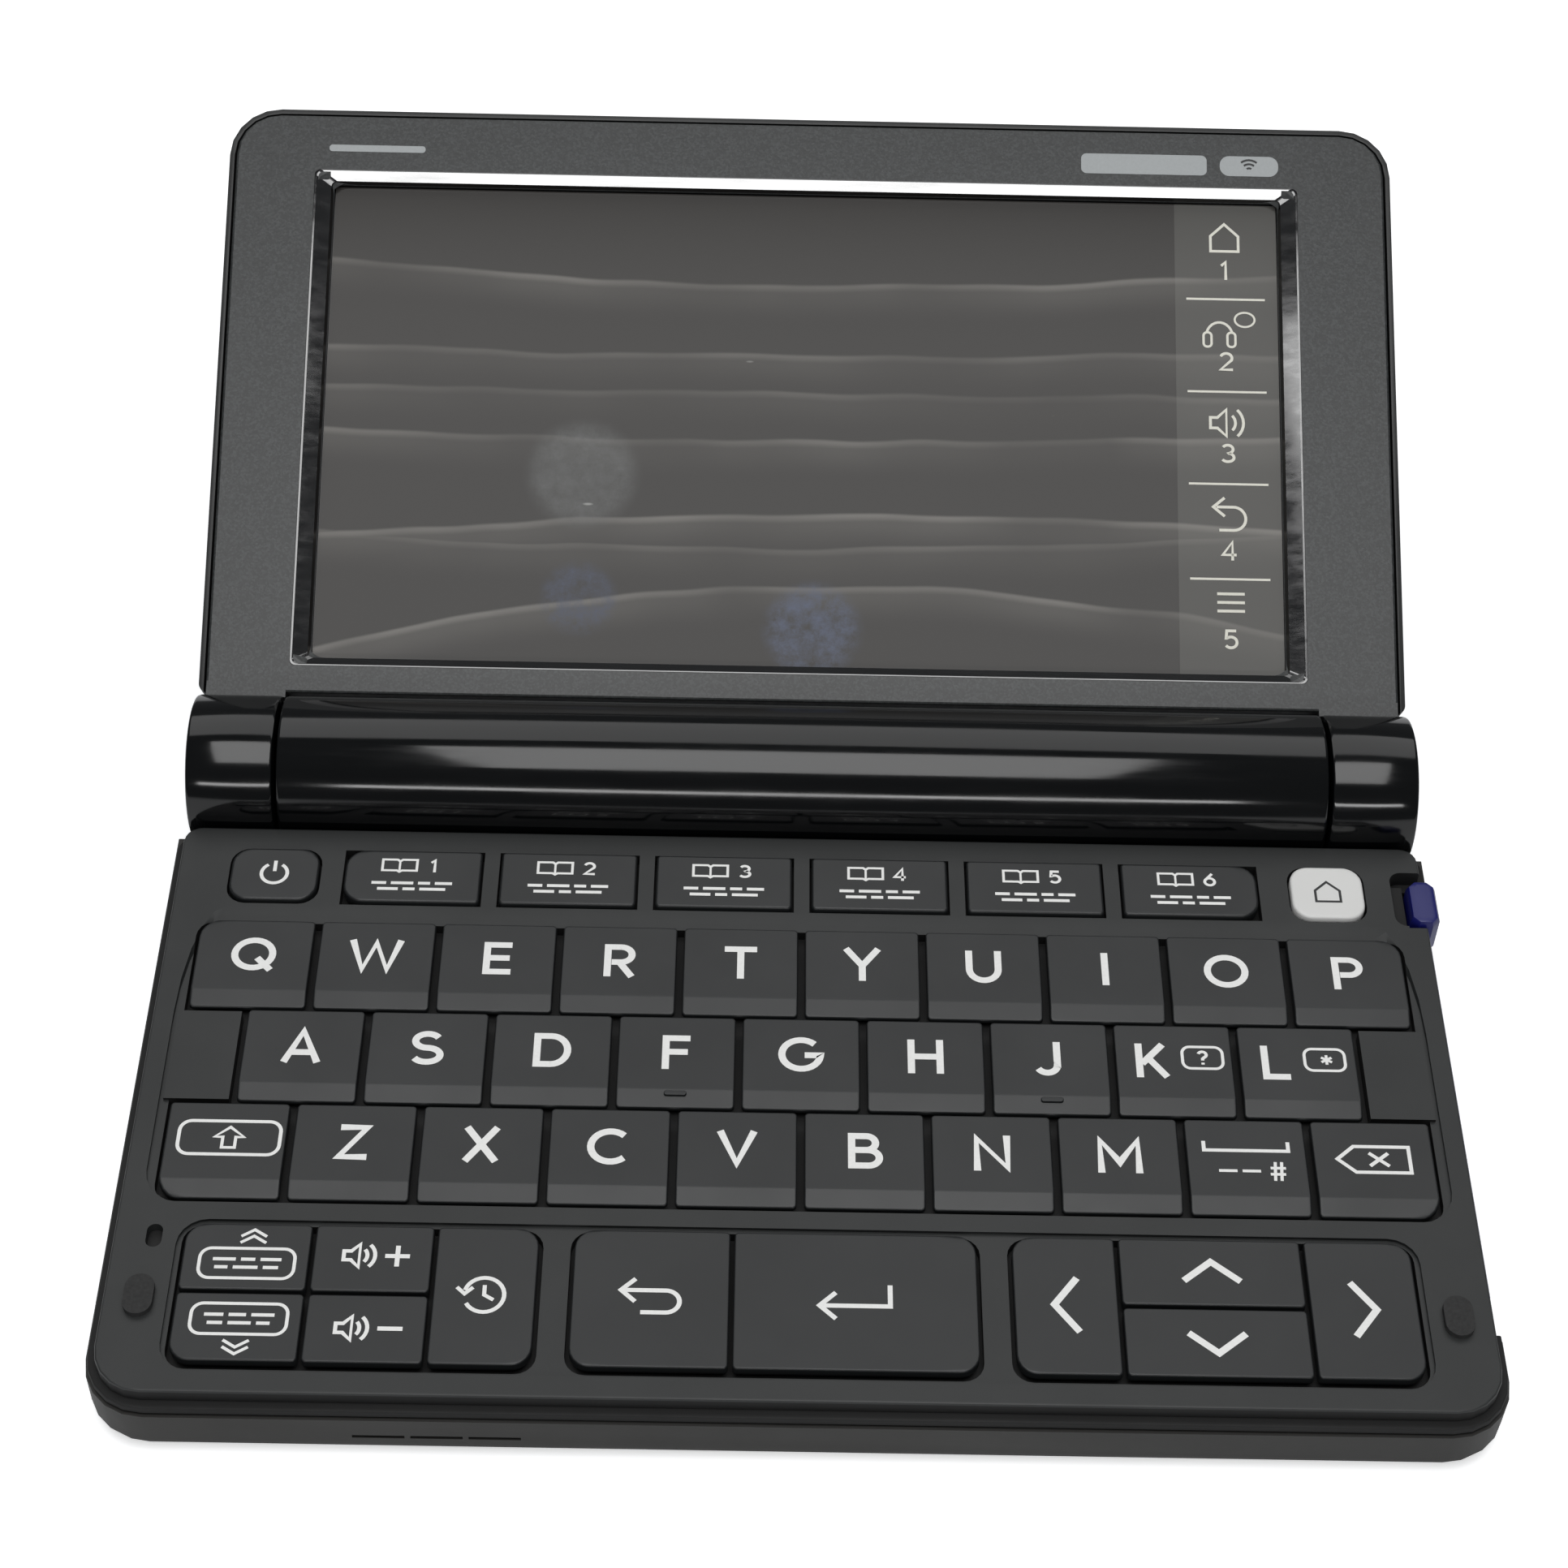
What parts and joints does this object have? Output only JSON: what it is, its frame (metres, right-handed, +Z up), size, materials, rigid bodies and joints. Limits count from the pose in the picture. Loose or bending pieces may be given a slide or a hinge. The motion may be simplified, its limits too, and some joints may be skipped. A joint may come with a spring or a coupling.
{
  "type": "electronic dictionary",
  "caption": "Clamshell pocket dictionary with a letter keyboard, front key clusters, a round battery barrel at the hinge, a touch screen in the lid and a stylus.",
  "frame": {"origin": "on the flat underside of the bottom case, midway across it and midway between its front edge and the hinge axis; the feet reach 0.4 mm below it", "axes": "+X to the user's right along the hinge, +Y from the front edge towards the hinge, +Z up"},
  "size_m": [0.1482, 0.1655, 0.0503],
  "materials": {
    "deck_plastic": "matte, dark grey",
    "case_plastic": "satin, dark brownish grey",
    "key_plastic": "satin, dark grey with white legends",
    "home_key_plastic": "satin, pale grey",
    "gloss_plastic": "gloss, black",
    "bezel_plastic": "satin with fine speckle, grey",
    "screen_glass": "gloss, dark grey display behind clear glass",
    "module_frame": "satin, grey",
    "board_resin": "satin, green resin",
    "cell_metal": "satin steel can",
    "stylus_plastic": "satin gloss, deep blue"
  },
  "bodies": {
    "base": {"bottom_case": "case_plastic", "top_case": "deck_plastic", "battery_barrel": "gloss_plastic", "contact_board": "board_resin", "battery_cell_left": "cell_metal", "battery_cell_right": "cell_metal"},
    "lid": {"lid_back_cover": "case_plastic", "lid_bezel": "bezel_plastic", "touch_panel": "screen_glass", "display_module": "module_frame"},
    "stylus": {"stylus": "stylus_plastic"},
    "battery_door": {"battery_door": "gloss_plastic"},
    "key_a": {"key_a": "key_plastic"},
    "key_b": {"key_b": "key_plastic"},
    "key_back": {"key_back": "key_plastic"},
    "key_c": {"key_c": "key_plastic"},
    "key_d": {"key_d": "key_plastic"},
    "key_delete": {"key_delete": "key_plastic"},
    "key_dictionary_1": {"key_dictionary_1": "key_plastic"},
    "key_dictionary_2": {"key_dictionary_2": "key_plastic"},
    "key_dictionary_3": {"key_dictionary_3": "key_plastic"},
    "key_dictionary_4": {"key_dictionary_4": "key_plastic"},
    "key_dictionary_5": {"key_dictionary_5": "key_plastic"},
    "key_dictionary_6": {"key_dictionary_6": "key_plastic"},
    "key_down": {"key_down": "key_plastic"},
    "key_e": {"key_e": "key_plastic"},
    "key_enter": {"key_enter": "key_plastic"},
    "key_f": {"key_f": "key_plastic"},
    "key_g": {"key_g": "key_plastic"},
    "key_h": {"key_h": "key_plastic"},
    "key_history": {"key_history": "key_plastic"},
    "key_home": {"key_home": "home_key_plastic"},
    "key_i": {"key_i": "key_plastic"},
    "key_j": {"key_j": "key_plastic"},
    "key_k": {"key_k": "key_plastic"},
    "key_l": {"key_l": "key_plastic"},
    "key_left": {"key_left": "key_plastic"},
    "key_m": {"key_m": "key_plastic"},
    "key_n": {"key_n": "key_plastic"},
    "key_next": {"key_next": "key_plastic"},
    "key_o": {"key_o": "key_plastic"},
    "key_p": {"key_p": "key_plastic"},
    "key_power": {"key_power": "key_plastic"},
    "key_previous": {"key_previous": "key_plastic"},
    "key_q": {"key_q": "key_plastic"},
    "key_r": {"key_r": "key_plastic"},
    "key_right": {"key_right": "key_plastic"},
    "key_s": {"key_s": "key_plastic"},
    "key_shift": {"key_shift": "key_plastic"},
    "key_symbols": {"key_symbols": "key_plastic"},
    "key_t": {"key_t": "key_plastic"},
    "key_u": {"key_u": "key_plastic"},
    "key_up": {"key_up": "key_plastic"},
    "key_v": {"key_v": "key_plastic"},
    "key_volume_down": {"key_volume_down": "key_plastic"},
    "key_volume_up": {"key_volume_up": "key_plastic"},
    "key_w": {"key_w": "key_plastic"},
    "key_x": {"key_x": "key_plastic"},
    "key_y": {"key_y": "key_plastic"},
    "key_z": {"key_z": "key_plastic"}
  },
  "joints": [
    {"name": "lid_hinge", "type": "hinge", "parent": "base", "child": "lid", "pos_m": [0, 0.0436, 0.0091], "axis": [1, 0, 0], "range_deg": [-6, 150.8]},
    {"name": "stylus_slide", "type": "slide", "parent": "base", "child": "stylus", "axis": [1, 0, 0], "range_m": [0, 0.006]},
    {"name": "battery_door_slide", "type": "slide", "parent": "base", "child": "battery_door", "axis": [0, 0.5, -0.866], "range_m": [0, 0.012]},
    {"name": "key_a_press", "type": "slide", "parent": "base", "child": "key_a", "axis": [0, 0, 1], "range_m": [-0.0008, 0], "stiffness_N_per_m": 600},
    {"name": "key_b_press", "type": "slide", "parent": "base", "child": "key_b", "axis": [0, 0, 1], "range_m": [-0.0008, 0], "stiffness_N_per_m": 600},
    {"name": "key_back_press", "type": "slide", "parent": "base", "child": "key_back", "axis": [0, 0, 1], "range_m": [-0.0008, 0], "stiffness_N_per_m": 600},
    {"name": "key_c_press", "type": "slide", "parent": "base", "child": "key_c", "axis": [0, 0, 1], "range_m": [-0.0008, 0], "stiffness_N_per_m": 600},
    {"name": "key_d_press", "type": "slide", "parent": "base", "child": "key_d", "axis": [0, 0, 1], "range_m": [-0.0008, 0], "stiffness_N_per_m": 600},
    {"name": "key_delete_press", "type": "slide", "parent": "base", "child": "key_delete", "axis": [0, 0, 1], "range_m": [-0.0008, 0], "stiffness_N_per_m": 600},
    {"name": "key_dictionary_1_press", "type": "slide", "parent": "base", "child": "key_dictionary_1", "axis": [0, 0, 1], "range_m": [-0.0008, 0], "stiffness_N_per_m": 600},
    {"name": "key_dictionary_2_press", "type": "slide", "parent": "base", "child": "key_dictionary_2", "axis": [0, 0, 1], "range_m": [-0.0008, 0], "stiffness_N_per_m": 600},
    {"name": "key_dictionary_3_press", "type": "slide", "parent": "base", "child": "key_dictionary_3", "axis": [0, 0, 1], "range_m": [-0.0008, 0], "stiffness_N_per_m": 600},
    {"name": "key_dictionary_4_press", "type": "slide", "parent": "base", "child": "key_dictionary_4", "axis": [0, 0, 1], "range_m": [-0.0008, 0], "stiffness_N_per_m": 600},
    {"name": "key_dictionary_5_press", "type": "slide", "parent": "base", "child": "key_dictionary_5", "axis": [0, 0, 1], "range_m": [-0.0008, 0], "stiffness_N_per_m": 600},
    {"name": "key_dictionary_6_press", "type": "slide", "parent": "base", "child": "key_dictionary_6", "axis": [0, 0, 1], "range_m": [-0.0008, 0], "stiffness_N_per_m": 600},
    {"name": "key_down_press", "type": "slide", "parent": "base", "child": "key_down", "axis": [0, 0, 1], "range_m": [-0.0008, 0], "stiffness_N_per_m": 600},
    {"name": "key_e_press", "type": "slide", "parent": "base", "child": "key_e", "axis": [0, 0, 1], "range_m": [-0.0008, 0], "stiffness_N_per_m": 600},
    {"name": "key_enter_press", "type": "slide", "parent": "base", "child": "key_enter", "axis": [0, 0, 1], "range_m": [-0.0008, 0], "stiffness_N_per_m": 600},
    {"name": "key_f_press", "type": "slide", "parent": "base", "child": "key_f", "axis": [0, 0, 1], "range_m": [-0.0008, 0], "stiffness_N_per_m": 600},
    {"name": "key_g_press", "type": "slide", "parent": "base", "child": "key_g", "axis": [0, 0, 1], "range_m": [-0.0008, 0], "stiffness_N_per_m": 600},
    {"name": "key_h_press", "type": "slide", "parent": "base", "child": "key_h", "axis": [0, 0, 1], "range_m": [-0.0008, 0], "stiffness_N_per_m": 600},
    {"name": "key_history_press", "type": "slide", "parent": "base", "child": "key_history", "axis": [0, 0, 1], "range_m": [-0.0008, 0], "stiffness_N_per_m": 600},
    {"name": "key_home_press", "type": "slide", "parent": "base", "child": "key_home", "axis": [0, 0, 1], "range_m": [-0.0008, 0], "stiffness_N_per_m": 600},
    {"name": "key_i_press", "type": "slide", "parent": "base", "child": "key_i", "axis": [0, 0, 1], "range_m": [-0.0008, 0], "stiffness_N_per_m": 600},
    {"name": "key_j_press", "type": "slide", "parent": "base", "child": "key_j", "axis": [0, 0, 1], "range_m": [-0.0008, 0], "stiffness_N_per_m": 600},
    {"name": "key_k_press", "type": "slide", "parent": "base", "child": "key_k", "axis": [0, 0, 1], "range_m": [-0.0008, 0], "stiffness_N_per_m": 600},
    {"name": "key_l_press", "type": "slide", "parent": "base", "child": "key_l", "axis": [0, 0, 1], "range_m": [-0.0008, 0], "stiffness_N_per_m": 600},
    {"name": "key_left_press", "type": "slide", "parent": "base", "child": "key_left", "axis": [0, 0, 1], "range_m": [-0.0008, 0], "stiffness_N_per_m": 600},
    {"name": "key_m_press", "type": "slide", "parent": "base", "child": "key_m", "axis": [0, 0, 1], "range_m": [-0.0008, 0], "stiffness_N_per_m": 600},
    {"name": "key_n_press", "type": "slide", "parent": "base", "child": "key_n", "axis": [0, 0, 1], "range_m": [-0.0008, 0], "stiffness_N_per_m": 600},
    {"name": "key_next_press", "type": "slide", "parent": "base", "child": "key_next", "axis": [0, 0, 1], "range_m": [-0.0008, 0], "stiffness_N_per_m": 600},
    {"name": "key_o_press", "type": "slide", "parent": "base", "child": "key_o", "axis": [0, 0, 1], "range_m": [-0.0008, 0], "stiffness_N_per_m": 600},
    {"name": "key_p_press", "type": "slide", "parent": "base", "child": "key_p", "axis": [0, 0, 1], "range_m": [-0.0008, 0], "stiffness_N_per_m": 600},
    {"name": "key_power_press", "type": "slide", "parent": "base", "child": "key_power", "axis": [0, 0, 1], "range_m": [-0.0008, 0], "stiffness_N_per_m": 600},
    {"name": "key_previous_press", "type": "slide", "parent": "base", "child": "key_previous", "axis": [0, 0, 1], "range_m": [-0.0008, 0], "stiffness_N_per_m": 600},
    {"name": "key_q_press", "type": "slide", "parent": "base", "child": "key_q", "axis": [0, 0, 1], "range_m": [-0.0008, 0], "stiffness_N_per_m": 600},
    {"name": "key_r_press", "type": "slide", "parent": "base", "child": "key_r", "axis": [0, 0, 1], "range_m": [-0.0008, 0], "stiffness_N_per_m": 600},
    {"name": "key_right_press", "type": "slide", "parent": "base", "child": "key_right", "axis": [0, 0, 1], "range_m": [-0.0008, 0], "stiffness_N_per_m": 600},
    {"name": "key_s_press", "type": "slide", "parent": "base", "child": "key_s", "axis": [0, 0, 1], "range_m": [-0.0008, 0], "stiffness_N_per_m": 600},
    {"name": "key_shift_press", "type": "slide", "parent": "base", "child": "key_shift", "axis": [0, 0, 1], "range_m": [-0.0008, 0], "stiffness_N_per_m": 600},
    {"name": "key_symbols_press", "type": "slide", "parent": "base", "child": "key_symbols", "axis": [0, 0, 1], "range_m": [-0.0008, 0], "stiffness_N_per_m": 600},
    {"name": "key_t_press", "type": "slide", "parent": "base", "child": "key_t", "axis": [0, 0, 1], "range_m": [-0.0008, 0], "stiffness_N_per_m": 600},
    {"name": "key_u_press", "type": "slide", "parent": "base", "child": "key_u", "axis": [0, 0, 1], "range_m": [-0.0008, 0], "stiffness_N_per_m": 600},
    {"name": "key_up_press", "type": "slide", "parent": "base", "child": "key_up", "axis": [0, 0, 1], "range_m": [-0.0008, 0], "stiffness_N_per_m": 600},
    {"name": "key_v_press", "type": "slide", "parent": "base", "child": "key_v", "axis": [0, 0, 1], "range_m": [-0.0008, 0], "stiffness_N_per_m": 600},
    {"name": "key_volume_down_press", "type": "slide", "parent": "base", "child": "key_volume_down", "axis": [0, 0, 1], "range_m": [-0.0008, 0], "stiffness_N_per_m": 600},
    {"name": "key_volume_up_press", "type": "slide", "parent": "base", "child": "key_volume_up", "axis": [0, 0, 1], "range_m": [-0.0008, 0], "stiffness_N_per_m": 600},
    {"name": "key_w_press", "type": "slide", "parent": "base", "child": "key_w", "axis": [0, 0, 1], "range_m": [-0.0008, 0], "stiffness_N_per_m": 600},
    {"name": "key_x_press", "type": "slide", "parent": "base", "child": "key_x", "axis": [0, 0, 1], "range_m": [-0.0008, 0], "stiffness_N_per_m": 600},
    {"name": "key_y_press", "type": "slide", "parent": "base", "child": "key_y", "axis": [0, 0, 1], "range_m": [-0.0008, 0], "stiffness_N_per_m": 600},
    {"name": "key_z_press", "type": "slide", "parent": "base", "child": "key_z", "axis": [0, 0, 1], "range_m": [-0.0008, 0], "stiffness_N_per_m": 600}
  ]
}
